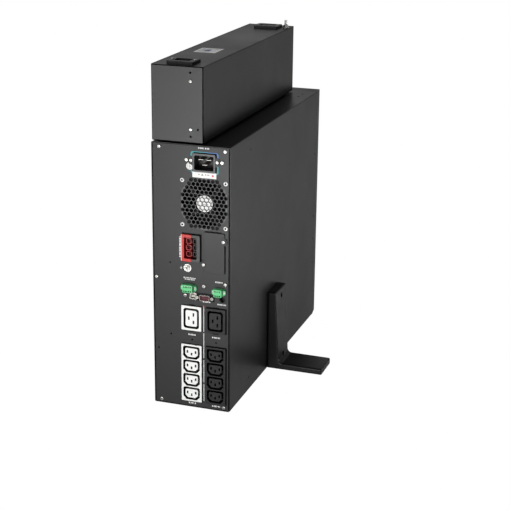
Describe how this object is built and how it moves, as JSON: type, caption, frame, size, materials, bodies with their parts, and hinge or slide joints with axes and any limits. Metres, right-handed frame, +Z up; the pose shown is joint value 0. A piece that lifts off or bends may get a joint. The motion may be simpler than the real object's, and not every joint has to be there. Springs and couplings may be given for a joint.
{
  "type": "uninterruptible power supply",
  "caption": "Rack and tower battery backup unit on side feet, with a rear panel of power and signal sockets, a sliding battery drawer, a tilting display and a filter module on top.",
  "frame": {"origin": "middle of the casing's base, on the surface it stands on", "axes": "+Z up, +Y from the connector panel to the display front, +X right as seen from the connector panel"},
  "size_m": [0.328, 0.5152, 0.5715],
  "materials": {
    "casing_paint": "fine-textured black powder coat",
    "module_paint": "fine-textured dark grey powder coat",
    "plated_steel": "zinc plated",
    "black_screws": "blackened steel",
    "inner_steel": "galvanised",
    "bezel_plastic": "finely grained",
    "black_plastic": "moulded",
    "fan_plastic": "glass-filled, moulded",
    "white_plastic": "moulded",
    "red_plastic": "moulded",
    "green_plastic": "moulded",
    "contact_metal": "tin plated",
    "port_metal": "nickel plated",
    "foot_plastic": "matt, grained",
    "pad_rubber": "soft",
    "board_green": "solder mask",
    "sink_aluminium": "extruded",
    "capacitor_sleeve": "shrink sleeve",
    "winding": "enamelled copper and tape",
    "battery_case": "moulded",
    "link_insulation": "insulated",
    "display_glass": "clear, dark behind",
    "button_plastic": "smooth",
    "bearing_bronze": "sintered"
  },
  "bodies": {
    "casing": {"chassis_tray": "casing_paint", "side_cover": "casing_paint", "rear_panel": "casing_paint", "casing_screws": "plated_steel", "earth_screw": "plated_steel", "fan_frame": "fan_plastic", "fan_bearings": "bearing_bronze", "fan_screws": "plated_steel", "power_inlet": "black_plastic", "inlet_pins": "contact_metal", "outlet_latches": "black_plastic", "battery_port_positive": "red_plastic", "battery_port_negative": "black_plastic", "port_contacts": "contact_metal", "card_slot_cover": "casing_paint", "terminal_plugs": "green_plastic", "terminal_screws": "plated_steel", "signal_board": "board_green", "usb_port": "port_metal", "serial_shell": "port_metal", "serial_insert": "black_plastic", "serial_jack_screws": "port_metal", "phone_jack": "black_plastic", "foot_screws": "black_screws", "bay_walls": "inner_steel", "bay_socket": "black_plastic", "main_board": "board_green", "heat_sinks": "sink_aluminium", "bulk_capacitors": "capacitor_sleeve", "power_magnetics": "winding", "output_board": "board_green", "front_bezel": "bezel_plastic", "large_outlet_group_one": "white_plastic", "outlet_strip_group_one": "white_plastic", "large_outlet_group_two": "black_plastic", "outlet_strip_group_two": "black_plastic", "stand_foot_right": "foot_plastic", "stand_foot_left": "foot_plastic"},
    "fan_rotor": {"fan_rotor": "fan_plastic"},
    "battery_drawer": {"battery_tray": "inner_steel", "battery_blocks": "battery_case", "battery_links": "link_insulation", "tray_plug": "black_plastic", "battery_cover": "bezel_plastic"},
    "display_head": {"display_housing": "bezel_plastic", "display_window": "display_glass"},
    "power_button": {"power_button": "button_plastic"},
    "filter_module": {"module_case": "module_paint", "module_lid": "module_paint", "module_inlet": "black_plastic", "module_outlet": "black_plastic", "module_screws": "plated_steel", "module_earth_stud": "plated_steel", "module_pads": "pad_rubber", "filter_board": "board_green", "filter_chokes": "winding"},
    "menu_button_1": {"menu_button_1": "button_plastic"},
    "menu_button_2": {"menu_button_2": "button_plastic"},
    "menu_button_3": {"menu_button_3": "button_plastic"},
    "menu_button_4": {"menu_button_4": "button_plastic"}
  },
  "joints": [
    {"name": "fan_spin", "type": "hinge", "parent": "casing", "child": "fan_rotor", "pos_m": [0.022, -0.237, 0.3456], "axis": [0, 1, 0], "continuous": true},
    {"name": "battery_drawer_slide", "type": "slide", "parent": "casing", "child": "battery_drawer", "axis": [0, 1, 0], "range_m": [0, 0.3]},
    {"name": "display_tilt", "type": "hinge", "parent": "casing", "child": "display_head", "pos_m": [0, 0.246, 0.396], "axis": [1, 0, 0], "range_deg": [0, 45]},
    {"name": "power_button_press", "type": "slide", "parent": "casing", "child": "power_button", "axis": [0, -1, 0], "range_m": [0, 0.0012], "stiffness_N_per_m": 400, "springref_m": -0.001},
    {"name": "filter_module_lift", "type": "slide", "parent": "casing", "child": "filter_module", "axis": [0, 0, 1], "range_m": [0, 0.15]},
    {"name": "menu_button_1_press", "type": "slide", "parent": "display_head", "child": "menu_button_1", "axis": [0, -1, 0], "range_m": [0, 0.001], "stiffness_N_per_m": 400, "springref_m": -0.001},
    {"name": "menu_button_2_press", "type": "slide", "parent": "display_head", "child": "menu_button_2", "axis": [0, -1, 0], "range_m": [0, 0.001], "stiffness_N_per_m": 400, "springref_m": -0.001},
    {"name": "menu_button_3_press", "type": "slide", "parent": "display_head", "child": "menu_button_3", "axis": [0, -1, 0], "range_m": [0, 0.001], "stiffness_N_per_m": 400, "springref_m": -0.001},
    {"name": "menu_button_4_press", "type": "slide", "parent": "display_head", "child": "menu_button_4", "axis": [0, -1, 0], "range_m": [0, 0.001], "stiffness_N_per_m": 400, "springref_m": -0.001}
  ]
}
